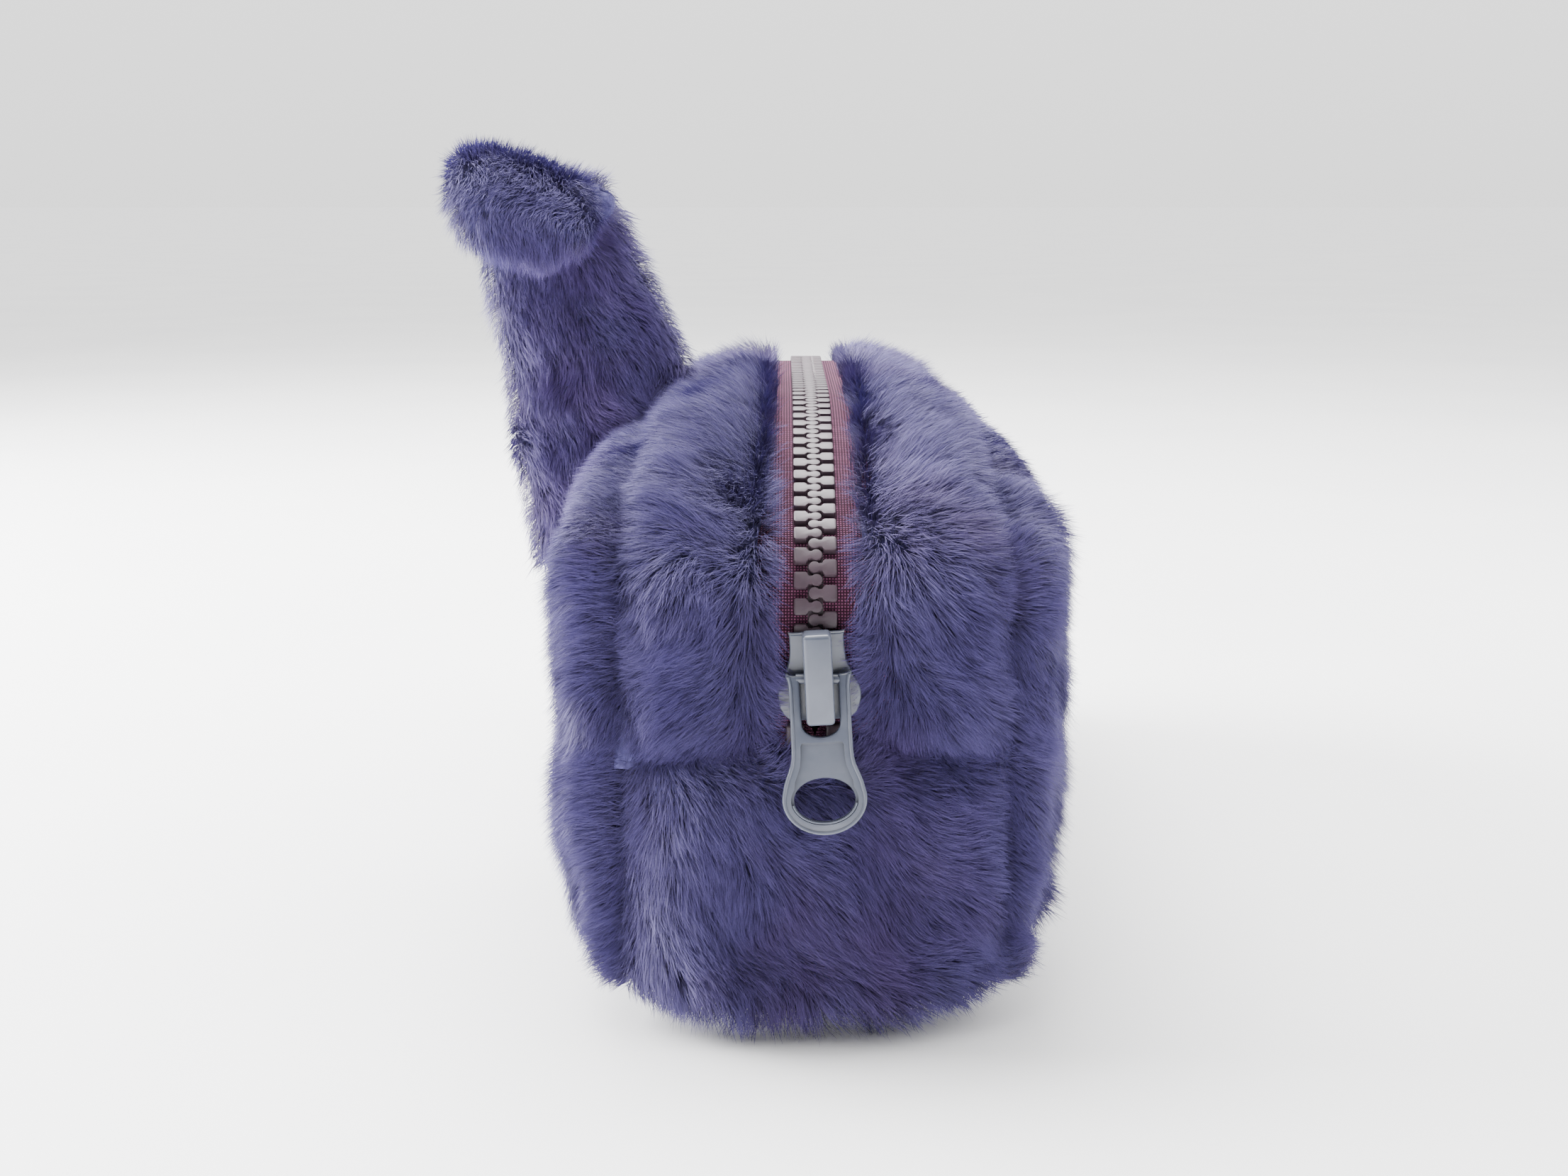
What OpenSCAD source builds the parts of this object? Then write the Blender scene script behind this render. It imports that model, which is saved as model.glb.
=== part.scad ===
// Plush zip-mouth pouch: a box-shaped bag of faux fur that opens along a
// moulded zip, with one soft ear folded over at its tip.
// Millimetres. The origin is the middle of the flat underside, +Z is up and
// the end with the closed slider faces -Y.

/* [Body] */
// Width over the pile
body_w = 78; // [72:1:96]
// Length over the pile
body_l = 185; // [150:1:225]
// Height over the pile
body_h = 92; // [88:1:112]
// Drop from the top to the cross seam that both ends of the zip start from
seam_drop = 50; // [49:1:58]
// Radius of the two long shoulders
shoulder_r = 26; // [20:1:26]
// Radius of the two long bottom edges
keel_r = 17; // [12:1:20]
// Radius of the bottom edge at each end
heel_r = 15; // [12:1:20]
// Radius of the four upright corners
corner_r = 13; // [11:1:16]
// Drop from the top to where each end starts to bend over
bend_drop = 32; // [28:1:32]
// Radius of the tight bend at the top of each end
bend_r = 20; // [16:1:26]
// Turn of the tight bend before the long crown takes over, in degrees
bend_turn = 60; // [50:1:70]
// Width of the end panel between its two upright seams
gusset_w = 52; // [46:1:54]

/* [Layers] */
// Thickness of the fur fabric with its pile
fur_t = 6; // [5:0.5:7]
// Thickness of the wadding
wadding_t = 3; // [2:0.5:4]
// Thickness of the lining
lining_t = 0.8; // [0.5:0.1:1]
// Gap between the bag and each lip where they fold apart
fold_gap = 0.3; // [0.2:0.1:0.6]

/* [Zip] */
// Pitch of the teeth along one tape
tooth_pitch = 3.4; // [3:0.1:4]
// Width of the closed chain
chain_w = 5.9; // [5.4:0.1:6.4]
// Thickness of a tooth
tooth_t = 2.6; // [2.2:0.1:2.8]
// Thickness of the woven tape
tape_t = 0.7; // [0.5:0.1:0.8]
// Half the width of the two tapes and the chain together
tape_reach = 12.5; // [11:0.5:14]
// Half the width of the slot between the two fur strips
slot_half = 6.5; // [6.2:0.1:7.5]

/* [Slider] */
// Length of the slider along the chain
slider_l = 12.4; // [11:0.1:13]
// Width over the slider's round shoulders
slider_w = 11.5; // [10.5:0.1:11.8]
// Drop from the top to the middle of the slider when the zip is closed
slider_drop = 38.5; // [38:0.5:40]
// Thickness of the slider's two plates
plate_t = 1.2; // [1:0.1:1.3]
// Width of the raised cap
cap_w = 3.9; // [3.4:0.1:4.1]
// Length of the raised cap
cap_l = 13; // [12:0.1:13.4]
// Radius of the pull's cross bar
bar_r = 0.7; // [0.6:0.05:0.75]

/* [Pull] */
// Length from the cross bar to the tip of the pull
pull_l = 21.3; // [20:0.1:24]
// Width of the pull at its tip
pull_w = 11.7; // [11:0.1:12]
// Thickness of the pull
pull_t = 1.4; // [1.2:0.1:1.5]
// Lean of the hanging pull away from the bag, in degrees
pull_lean = 9; // [6:1:12]

/* [Ear] */
// Width of the ear over its pile
ear_w = 26; // [22:1:30]
// Length of the ear from its root to the fold
ear_l = 50; // [44:1:56]
// Lean of the ear away from the bag, in degrees
ear_lean = 17.5; // [10:0.5:25]
// Distance of the ear behind the middle of the bag
ear_y = -9; // [-20:1:20]
// Gap between the ear and the shoulder it is sewn to
ear_gap = 3; // [3:0.5:5]

/* [Hidden] */
$fn = 48;

LEFT = -1;
RIGHT = 1;
far = 400;                        // longer than anything in the bag
slack = 0.2;                      // running clearance inside the slider
arc_step = 7.5;                   // turn of one flat of a soft curve, in degrees

fur = "#6c6aa4";
fur_dark = "#5b588f";
wadding = "#e8e6ea";
lining = "#8a86b8";
tape = "#bc6482";
teeth = "#9e8f9a";
metal = "#a2a7bd";

// heights of what is placed from the top
seam_z = body_h - seam_drop;
bend_z = body_h - bend_drop;
slider_z = body_h - slider_drop;

// depths below the pile, inwards
wadding_d = fur_t;
lining_d = fur_t + wadding_t;
tape_d = fur_t + tape_t / 2;      // middle of the tape and of the teeth

// the long crown that joins the tight bend to the flat top
crown_r = (body_h - bend_z - bend_r * sin(bend_turn)) / (1 - sin(bend_turn));
bend_y = bend_r - body_l / 2;
crown_y = bend_y + (crown_r - bend_r) * cos(bend_turn);
crown_z = bend_z - (crown_r - bend_r) * sin(bend_turn);

// points of an arc from angle a0 to a1 about c
function arc(c, r, a0, a1) =
    let (n = max(2, round(abs(a1 - a0) / arc_step)))
    [for (i = [0:n]) let (a = a0 + (a1 - a0) * i / n) c + r * [cos(a), sin(a)]];

function mirrored(points) =
    [for (i = [len(points) - 1:-1:0]) [-points[i][0], points[i][1]]];

// half outlines from the underside up, at depth d below the pile
function end_half(d) = concat(
    arc([heel_r - body_l / 2, heel_r], heel_r - d, 270, 180),
    arc([bend_y, bend_z], bend_r - d, 180, 180 - bend_turn),
    arc([crown_y, crown_z], crown_r - d, 180 - bend_turn, 90));
function cross_half(d) = concat(
    arc([keel_r - body_w / 2, keel_r], keel_r - d, 270, 180),
    arc([shoulder_r - body_w / 2, body_h - shoulder_r], shoulder_r - d, 180, 90));
function plan_half(d) = concat(
    arc([corner_r - body_w / 2, corner_r - body_l / 2], corner_r - d, 270, 180),
    arc([corner_r - body_w / 2, body_l / 2 - corner_r], corner_r - d, 180, 90));

module outline(half) { polygon(concat(half, mirrored(half))); }

// side view of the bag at depth d, w wide in X
module side_view(d, w) {
    rotate([90, 0, 90])
        linear_extrude(w, center = true) outline(end_half(d));
}

// the whole bag at depth d below the pile
module block(d) {
    intersection() {
        side_view(d, far);
        rotate([90, 0, 0]) linear_extrude(far, center = true) outline(cross_half(d));
        linear_extrude(far, center = true) outline(plan_half(d));
    }
}

module layer(d, t) {
    difference() {
        block(d);
        block(d + t);
    }
}

// what lies between x0 and x1 on one side, above or below the fold
module above_fold(side, x0, x1) {
    low = seam_z + fold_gap / 2;
    translate([side < 0 ? -x1 : x0, -far / 2, low]) cube([x1 - x0, far, far]);
}
module below_fold(x0, x1) {
    high = seam_z - fold_gap / 2;
    translate([x0, -far / 2, -1]) cube([x1 - x0, far, high + 1]);
}

// ---- the bag below the cross seam ----

// room for the pull, where it presses the pile flat
module pull_recess() {
    depth = tape_d - pivot_up + pull_t / 2 + 2 * slack;
    low = slider_z - pull_l - 1;
    for (end = [-1, 1])
        translate([-slot_half, end > 0 ? body_l / 2 - depth : -body_l / 2 - 1, low])
            cube([2 * slot_half, depth + 1, seam_z]);
}

module base_gusset() {
    color(fur) difference() {
        intersection() {
            layer(0, fur_t);
            below_fold(-gusset_w / 2, gusset_w / 2);
        }
        pull_recess();
    }
}

module side_lower(side) {
    color(fur) intersection() {
        layer(0, fur_t);
        below_fold(side < 0 ? -far : gusset_w / 2, side < 0 ? -gusset_w / 2 : far);
    }
}
module left_side_lower() { side_lower(LEFT); }
module right_side_lower() { side_lower(RIGHT); }

module base_wadding() {
    color(wadding) intersection() {
        layer(wadding_d, wadding_t);
        below_fold(-far, far);
    }
}

module base_lining() {
    color(lining) intersection() {
        layer(lining_d, lining_t);
        below_fold(-far, far);
    }
}

// moulded stop that joins both tapes at the far end of the zip
stop_l = 3;
stop_w = 2.8;
module bottom_stop() {
    color(teeth)
        translate([-stop_w, body_l / 2 - tape_d - tooth_t / 2, seam_z - fold_gap / 2])
            cube([2 * stop_w, tooth_t, stop_l]);
}

// ---- the two lips ----

module side_upper(side) {
    color(fur) intersection() {
        layer(0, fur_t);
        above_fold(side, gusset_w / 2, far);
    }
}
module left_side_upper() { side_upper(LEFT); }
module right_side_upper() { side_upper(RIGHT); }

module strip(side) {
    color(fur) intersection() {
        layer(0, fur_t);
        above_fold(side, slot_half, gusset_w / 2);
    }
}
module left_strip() { strip(LEFT); }
module right_strip() { strip(RIGHT); }

module lip_wadding(side) {
    color(wadding) intersection() {
        layer(wadding_d, wadding_t);
        above_fold(side, tape_reach + slack, far);
    }
}
module left_wadding() { lip_wadding(LEFT); }
module right_wadding() { lip_wadding(RIGHT); }

module lip_lining(side) {
    color(lining) intersection() {
        layer(lining_d, lining_t);
        above_fold(side, slot_half + 1.5, far);
    }
}
module left_lining() { lip_lining(LEFT); }
module right_lining() { lip_lining(RIGHT); }

// tape from the edge cord under the teeth to where the fur is sewn on
tape_edge = 1.5;
module zip_tape(side) {
    color(tape) difference() {
        intersection() {
            side_view(fur_t, far);
            above_fold(side, tape_edge, tape_reach);
        }
        side_view(fur_t + tape_t, far);
        translate([-stop_w - slack, 0, 0])
            cube([2 * (stop_w + slack), far, seam_z + stop_l + slack]);
    }
}
module left_tape() { zip_tape(LEFT); }
module right_tape() { zip_tape(RIGHT); }

// length of each stretch of the chain, from one seam to the top's middle
rise_l = bend_z - seam_z;
bend_l = (bend_r - tape_d) * bend_turn * PI / 180;
crown_l = (crown_r - tape_d) * (90 - bend_turn) * PI / 180;
half_l = rise_l + bend_l + crown_l - crown_y;

// turn of the chain from upright at distance s along it
function turn_at(s) =
    s > half_l ? 180 - turn_at(2 * half_l - s)
    : s < rise_l ? 0
    : s < rise_l + bend_l ? bend_turn * (s - rise_l) / bend_l
    : s < rise_l + bend_l + crown_l
        ? bend_turn + (90 - bend_turn) * (s - rise_l - bend_l) / crown_l
    : 90;
function place_at(s) =
    let (a = turn_at(s), out = [-cos(a), sin(a)])
    s > half_l ? let (p = place_at(2 * half_l - s)) [-p[0], p[1]]
    : s < rise_l ? [tape_d - body_l / 2, seam_z + s]
    : s < rise_l + bend_l ? [bend_y, bend_z] + (bend_r - tape_d) * out
    : s < rise_l + bend_l + crown_l ? [crown_y, crown_z] + (crown_r - tape_d) * out
    : [crown_y + s - rise_l - bend_l - crown_l, body_h - tape_d];

// puts a piece on the chain: its +Y runs along the zip and its +Z outwards
module on_chain(s) {
    p = place_at(s);
    translate([0, p[0], p[1]]) rotate([90 - turn_at(s), 0, 0]) children();
}

head_x = 0.9;                     // how far a tooth reaches past the middle
module tooth(side) {
    block_half = 1.2;
    head_half = 0.75;
    linear_extrude(tooth_t, center = true)
        polygon([for (p = [[chain_w / 2, -block_half], [chain_w / 2, block_half],
                           [head_x, block_half], [head_x, head_half],
                           [-head_x, head_half], [-head_x, -head_half],
                           [head_x, -head_half], [head_x, -block_half]])
                 [side * p[0], p[1]]]);
}

// the row starts inside the slider, past its wedge, and ends at the bottom stop
first_s = slider_z + 2.4 - seam_z;
last_s = 2 * half_l - stop_l - 1.8;
teeth_n = floor((last_s - first_s) / tooth_pitch - 0.5);
module teeth_row(side) {
    lag = side > 0 ? 0.5 : 0;
    color(teeth) for (i = [0:teeth_n])
        on_chain(first_s + (i + lag) * tooth_pitch) tooth(side);
}
module left_teeth() { teeth_row(LEFT); }
module right_teeth() { teeth_row(RIGHT); }

module top_stop(side) {
    color(teeth) on_chain(1.2 + stop_l / 2)
        translate([side * (tape_edge + 1.3), 0, 0])
            cube([2.6, stop_l, tooth_t], center = true);
}
module left_top_stop() { top_stop(LEFT); }
module right_top_stop() { top_stop(RIGHT); }

// ---- the slider, in its own frame: +Y along the zip, +Z outwards ----

channel_up = tooth_t / 2 + slack; // inner face of each plate
plate_up = channel_up + plate_t;  // outer face of the upper plate
shoulder_y = -2.9;                // middle of the round shoulders
neck_w = chain_w + 2 * slack + 1; // narrow end, a rail each side of the chain
rail_t = 0.5;
rail_l = channel_up - tape_t / 2 - 0.15;
pivot_up = plate_up + 1.45;       // axis of the pull's cross bar
roof_up = pivot_up + bar_r + 0.3; // underside of the cap's roof
cap_up = roof_up + 1.5;
pawl_y = 0.7;

module at_slider() {
    translate([0, tape_d - body_l / 2, slider_z]) rotate([90, 0, 0]) children();
}

module plate_shape(inset, over) {
    intersection() {
        union() {
            translate([-neck_w / 2 + inset, -1])
                square([neck_w - 2 * inset, slider_l / 2 + 1 + over]);
            translate([0, shoulder_y]) circle(slider_w / 2 - inset);
        }
        square([slider_w + 2, slider_l + 2 * over], center = true);
    }
}

module slider_body() {
    color(metal) at_slider() {
        difference() {
            translate([0, 0, channel_up]) linear_extrude(plate_t) plate_shape(0, 0);
            translate([-0.8, pawl_y - 0.5, channel_up - 1]) cube([1.6, 1, plate_t + 2]);
        }
        translate([0, 0, -channel_up - 1]) linear_extrude(1) plate_shape(0, 0);
        for (up = [channel_up - rail_l, -channel_up])
            translate([0, 0, up]) linear_extrude(rail_l) difference() {
                plate_shape(0, 0);
                plate_shape(rail_t, 2);
                translate([-slider_w, -slider_l / 2 - 1]) square([2 * slider_w, 1.6]);
            }
        translate([0, 0, -channel_up]) linear_extrude(2 * channel_up)
            polygon([[0, 0.1], [1.3, -3.6], [0.9, -5.8], [-0.9, -5.8], [-1.3, -3.6]]);
    }
}

module slider_cap() {
    corner = 1.4;
    foot = 2.1;
    low = plate_up;
    color(metal) at_slider() rotate([90, 0, 90])
        linear_extrude(cap_w, center = true) difference() {
            union() {
                translate([-cap_l / 2, low]) square([cap_l, cap_up - low - corner]);
                translate([-cap_l / 2 + corner, low])
                    square([cap_l - 2 * corner, cap_up - low]);
                for (end = [-1, 1])
                    translate([end * (cap_l / 2 - corner), cap_up - corner])
                        circle(corner);
            }
            translate([-cap_l / 2 + foot, low - 1])
                square([cap_l - 2 * foot, roof_up - low + 1]);
        }
}

// leaf with the pawl that drops between the teeth
module lock_spring() {
    leaf_t = 0.3;
    leaf_up = plate_up + 0.1;
    color("silver") at_slider() {
        translate([-0.8, -3.8, leaf_up]) cube([1.6, 7.6, leaf_t]);
        translate([-0.5, pawl_y - 0.25, channel_up - 0.2])
            cube([1, 0.5, leaf_up - channel_up + 0.2]);
    }
}

// ---- the pull, hanging in -Y from its cross bar ----

arm_w = 8.6;                      // width over the two arms
window_w = cap_w + 0.9;
window_l = cap_l / 2 + 1.3;
ring_r = 4.5;
hole_r = 2.95;
hole_w = 8.5;

module stadium(w, r) {
    square([w - 2 * r, 2 * r], center = true);
    for (end = [-1, 1]) translate([end * (w / 2 - r), 0]) circle(r);
}

module pull_tab() {
    ring_y = ring_r - pull_l;
    color(metal) at_slider() translate([0, 0, pivot_up]) rotate([-pull_lean, 0, 0]) {
        difference() {
            linear_extrude(pull_t, center = true) difference() {
                union() {
                    translate([-arm_w / 2, -13]) square([arm_w, 13]);
                    polygon([[-arm_w / 2, -11], [arm_w / 2, -11],
                             [pull_w / 2 - 0.5, ring_y + 1.8], [pull_w / 2 - 0.5, ring_y],
                             [0.5 - pull_w / 2, ring_y], [0.5 - pull_w / 2, ring_y + 1.8]]);
                    translate([0, ring_y]) stadium(pull_w, ring_r);
                }
                translate([-window_w / 2, 1 - window_l]) square([window_w, window_l]);
                translate([0, 1.4 - window_l]) circle(window_w / 2 - 0.6);
                translate([0, ring_y + 0.2]) stadium(hole_w, hole_r);
            }
            translate([0, 0, pull_t / 2 - 0.3]) linear_extrude(1)
                polygon([[-2.9, -9.6], [2.9, -9.6], [3.4, ring_y + 4], [-3.4, ring_y + 4]]);
        }
        rotate([0, 90, 0]) cylinder(h = window_w + 1, r = bar_r, center = true);
        for (side = [-1, 1])
            translate([side * (arm_w + window_w) / 4, 0, 0]) rotate([0, 90, 0])
                cylinder(h = (arm_w - window_w) / 2, r = pull_t / 2 + 0.25, center = true);
    }
}

// ---- the ear, sewn into the left shoulder ----

ear_x = -body_w / 2 + 3.5;        // root of the ear
ear_z = body_h - 13;
ear_t = 12;
panel_t = 4.8;
fold_r = 9.5;

// front view of the ear, less the shoulder it grows from
module ear_slab(y0, t) {
    difference() {
        translate([ear_x, y0 + t, ear_z]) rotate([90, -ear_lean, 0])
            linear_extrude(t) {
                translate([-ear_w / 2, -14]) square([ear_w, ear_l + 14 - fold_r]);
                translate([0, ear_l - fold_r]) stadium(ear_w + 7, fold_r);
            }
        block(-ear_gap);
    }
}
module ear_front() { color(fur) ear_slab(ear_y - ear_t / 2, panel_t); }
module ear_wadding() {
    color(wadding) ear_slab(ear_y - ear_t / 2 + panel_t, ear_t - 2 * panel_t);
}
module ear_back() { color(fur_dark) ear_slab(ear_y + ear_t / 2 - panel_t, panel_t); }

// the tip, folded over towards the slider's end
tip_t = 5;
tip_w = 26;
tip_r = 8.5;
module ear_tip(y0) {
    lean = [sin(ear_lean), cos(ear_lean)];
    middle = (ear_l - fold_r - 2) * lean;
    translate([ear_x - middle[0] - 5, y0 + tip_t, ear_z + middle[1] - 2]) rotate([90, 0, 0])
        linear_extrude(tip_t) stadium(tip_w, tip_r);
}
tip_y = ear_y - ear_t / 2 - 0.4;
module ear_tip_back() { color(fur_dark) ear_tip(tip_y - tip_t); }
module ear_tip_front() { color(fur) ear_tip(tip_y - 2 * tip_t); }

base_gusset();
left_side_lower();
right_side_lower();
base_wadding();
base_lining();
bottom_stop();
left_side_upper();
left_strip();
left_wadding();
left_lining();
left_tape();
left_teeth();
left_top_stop();
right_side_upper();
right_strip();
right_wadding();
right_lining();
right_tape();
right_teeth();
right_top_stop();
slider_body();
slider_cap();
lock_spring();
pull_tab();
ear_front();
ear_back();
ear_wadding();
ear_tip_front();
ear_tip_back();
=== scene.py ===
import math

import bmesh
import bpy
import numpy as np
from mathutils import Matrix, Vector


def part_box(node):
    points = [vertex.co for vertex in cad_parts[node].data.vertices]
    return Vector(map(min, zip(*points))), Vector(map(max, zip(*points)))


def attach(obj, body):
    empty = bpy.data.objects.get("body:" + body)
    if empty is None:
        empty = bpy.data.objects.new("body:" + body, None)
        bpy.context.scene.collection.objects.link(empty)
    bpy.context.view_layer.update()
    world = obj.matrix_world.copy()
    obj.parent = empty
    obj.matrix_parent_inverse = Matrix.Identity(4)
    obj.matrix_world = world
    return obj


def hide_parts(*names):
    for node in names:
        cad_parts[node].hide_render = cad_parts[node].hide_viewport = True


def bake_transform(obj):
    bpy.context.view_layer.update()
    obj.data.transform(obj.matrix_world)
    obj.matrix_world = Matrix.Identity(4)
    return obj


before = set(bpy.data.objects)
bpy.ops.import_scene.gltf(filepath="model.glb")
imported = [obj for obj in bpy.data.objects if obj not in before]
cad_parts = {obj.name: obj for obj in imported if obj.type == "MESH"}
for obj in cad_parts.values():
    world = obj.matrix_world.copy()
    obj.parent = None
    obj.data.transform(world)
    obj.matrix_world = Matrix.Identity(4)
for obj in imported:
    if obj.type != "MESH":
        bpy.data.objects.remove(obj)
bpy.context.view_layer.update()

# A plush pouch of faux fur whose zip is its mouth. Metres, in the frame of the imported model.

mm = 0.001

# ---- sizes taken from the frame ----

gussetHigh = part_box("base_gusset")[1]
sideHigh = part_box("right_side_lower")[1]
stripLow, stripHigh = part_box("left_strip")
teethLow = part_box("left_teeth")[0]
tapeLow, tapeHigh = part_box("left_tape")
sliderLow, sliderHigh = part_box("slider_body")
capLow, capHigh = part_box("slider_cap")
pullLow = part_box("pull_tab")[0]

bag = {
    "halfW": sideHigh[0],
    "halfL": gussetHigh[1],
    "top": stripHigh[2],
    "seamZ": (gussetHigh[2] + stripLow[2]) / 2,  # cross seam that the zip starts from
    "seamX": gussetHigh[0],  # upright seams beside the end panel
    "slotX": -stripHigh[0],  # edge of each fur strip along the zip
    "shoulder": 26 * mm,
    "keel": 17 * mm,
    "heel": 8 * mm,
    "corner": 13 * mm,
    "bendZ": 60 * mm,
    "bendR": 20 * mm,
    "bendTurn": math.radians(60),
    "skinDepth": 5.0 * mm,  # knitted backing, below the tips of the pile
    "soften": 9 * mm,  # rounding where two curved faces meet
}
bag["crownR"] = (bag["top"] - bag["bendZ"] - bag["bendR"] * math.sin(bag["bendTurn"])) / (
    1 - math.sin(bag["bendTurn"]))
bag["bendY"] = bag["halfL"] - bag["bendR"]
bag["crownY"] = bag["bendY"] - (bag["crownR"] - bag["bendR"]) * math.cos(bag["bendTurn"])
bag["crownZ"] = bag["bendZ"] - (bag["crownR"] - bag["bendR"]) * math.sin(bag["bendTurn"])
seamX, seamZ, slotX, bagL = bag["seamX"], bag["seamZ"], bag["slotX"], bag["halfL"]

sliderMiddle = Vector((0, teethLow[1] + 1.3 * mm, (sliderLow[2] + sliderHigh[2]) / 2))


# ---- small helpers ----

def linearColour(hexText):
    parts = [int(hexText[i:i + 2], 16) / 255 for i in (1, 3, 5)]
    return tuple(c / 12.92 if c <= 0.04045 else ((c + 0.055) / 1.055) ** 2.4 for c in parts) + (1,)


def addNode(tree, kind, settings=None, links=None):
    node = tree.nodes.new("ShaderNode" + kind)
    for name, value in (settings or {}).items():
        if name == "stops":
            elements = node.color_ramp.elements
            while len(elements) < len(value):
                elements.new(0.5)
            for element, (place, hexText) in zip(elements, value):
                element.position = place
                element.color = linearColour(hexText)
        elif name in node.inputs:
            node.inputs[name].default_value = value
        else:
            setattr(node, name, value)
    for name, source in (links or {}).items():
        tree.links.new(source, node.inputs[name])
    return node


def newMaterial(name):
    material = bpy.data.materials.new(name)
    material.use_nodes = True
    tree = material.node_tree
    tree.nodes.clear()
    return material, tree, addNode(tree, "TexCoord").outputs["Object"]


def finishMaterial(material, settings, links):
    tree = material.node_tree
    shader = addNode(tree, "BsdfPrincipled", settings, links)
    addNode(tree, "OutputMaterial", links={"Surface": shader.outputs["BSDF"]})
    return material


def newObject(name, data):
    piece = bpy.data.objects.new(name, data)
    bpy.context.collection.objects.link(piece)
    return piece


def selectOnly(*objects):
    bpy.ops.object.select_all(action="DESELECT")
    for o in objects:
        o.select_set(True)
    bpy.context.view_layer.objects.active = objects[0]


def applyPlace(piece):
    piece.data.transform(piece.matrix_world)
    piece.matrix_world = Matrix.Identity(4)


def newCube(place, size, cuts=0):
    bpy.ops.object.select_all(action="DESELECT")
    bpy.ops.mesh.primitive_cube_add(size=1, location=place)
    cube = bpy.context.active_object
    cube.scale = size
    bpy.context.view_layer.update()
    applyPlace(cube)
    if cuts:
        bpy.ops.object.mode_set(mode="EDIT")
        bpy.ops.mesh.select_all(action="SELECT")
        bpy.ops.mesh.subdivide(number_cuts=cuts)
        bpy.ops.object.mode_set(mode="OBJECT")
    return cube


def cutAlong(piece, planes):
    # new edges where each plane, a point and a normal, meets the piece
    selectOnly(piece)
    bpy.ops.object.mode_set(mode="EDIT")
    for place, way in planes:
        bpy.ops.mesh.select_all(action="SELECT")
        bpy.ops.mesh.bisect(plane_co=place, plane_no=way)
    bpy.ops.object.mode_set(mode="OBJECT")


def addModifier(piece, kind, **settings):
    selectOnly(piece)
    modifier = piece.modifiers.new(kind.title(), kind)
    for name, value in settings.items():
        setattr(modifier, name, value)
    bpy.ops.object.modifier_apply(modifier=modifier.name)


def smoothShade(piece, angle):
    selectOnly(piece)
    bpy.ops.object.shade_smooth_by_angle(angle=math.radians(angle))


def dress(piece, material, angle=40):
    piece.data.materials.clear()
    piece.data.materials.append(material)
    smoothShade(piece, angle)


def meshFrom(shape, name):
    mesh = bpy.data.meshes.new(name)
    shape.to_mesh(mesh)
    shape.free()
    return mesh


def meshPoints(mesh):
    points = np.empty(len(mesh.vertices) * 3)
    mesh.vertices.foreach_get("co", points)
    return points.reshape(-1, 3)


def movePoints(mesh, points):
    mesh.vertices.foreach_set("co", np.ascontiguousarray(points, dtype=np.float32).ravel())
    mesh.update()


def unit(v):
    return v / np.maximum(np.linalg.norm(v, axis=1, keepdims=True), 1e-12)


def waves(points, size, seed, count=7):
    # smooth noise from a few crossing waves, about -1 to 1
    rng = np.random.default_rng(seed)
    heading = unit(rng.normal(size=(count, 3)))
    pitch = 2 * math.pi / (size * rng.uniform(0.7, 1.6, count))
    phase = rng.uniform(0, 2 * math.pi, count)
    return np.sin(points @ (heading * pitch[:, None]).T + phase).sum(1) / math.sqrt(count)


def between(a, b, angle):
    # the direction that lies at an angle from a towards b
    return a * np.cos(angle)[:, None] + b * np.sin(angle)[:, None]


def hump(v, width, power=2):
    # 1 on a line, falling to nothing on both sides of it
    return np.exp(-(v / width) ** power)


def smoothStep(v, low, high):
    t = np.clip((v - low) / (high - low), 0, 1)
    return t * t * (3 - 2 * t)


# ---- the bag's surface ----

def roundedDistance(u, v, half, top, topR, lowR):
    r = np.where(v > top / 2, topR, lowR)
    qu = u - (half - r)
    qv = np.where(v > top / 2, v - (top - r), r - v)
    return np.hypot(np.maximum(qu, 0), np.maximum(qv, 0)) + np.minimum(np.maximum(qu, qv), 0) - r


def endDistance(y, z):
    low = roundedDistance(y, z, bagL, 1.0, bag["heel"], bag["heel"])
    bend = np.hypot(y - bag["bendY"], z - bag["bendZ"]) - bag["bendR"]
    crown = np.hypot(y - bag["crownY"], z - bag["crownZ"]) - bag["crownR"]
    turn = np.arctan2(z - bag["bendZ"], y - bag["bendY"])
    tight = (y > bag["bendY"]) & (turn < bag["bendTurn"])
    high = np.where(tight, bend, np.where(y > bag["crownY"], crown, z - bag["top"]))
    return np.where(z < bag["bendZ"], low, high)


def smoothMax(a, b, k):
    h = np.maximum(k - np.abs(a - b), 0) / k
    return np.maximum(a, b) + h * h * k / 4


def bagDistance(p):
    x, y, z = np.abs(p[:, 0]), np.abs(p[:, 1]), p[:, 2]
    cross = roundedDistance(x, z, bag["halfW"], bag["top"], bag["shoulder"], bag["keel"])
    plan = np.hypot(np.maximum(x - bag["halfW"] + bag["corner"], 0),
                    np.maximum(y - bagL + bag["corner"], 0)) - bag["corner"]
    plan = np.where((x < bag["halfW"] - bag["corner"]) | (y < bagL - bag["corner"]), -1.0, plan)
    soften = bag["soften"] * (0.12 + 0.88 * smoothStep(x, 9 * mm, 19 * mm))  # level beside the zip
    return smoothMax(smoothMax(cross, endDistance(y, z), soften), plan, bag["soften"] / 2)


def ontoBag(points, depth):
    # moves points along the line from the bag's core until they lie depth below its surface
    inner = np.array([bag["halfW"] - 27 * mm, bagL - 32 * mm, bag["top"] / 2 - 27 * mm])
    middle = np.array([0, 0, bag["top"] / 2])
    core = np.clip(points - middle, -inner, inner) + middle
    away = unit(points - core)
    low, high = np.zeros(len(points)), np.full(len(points), 80 * mm)
    for _ in range(30):
        half = (low + high) / 2
        outside = bagDistance(core + away * half[:, None]) > -depth
        high = np.where(outside, half, high)
        low = np.where(outside, low, half)
    return core + away * low[:, None]


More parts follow.
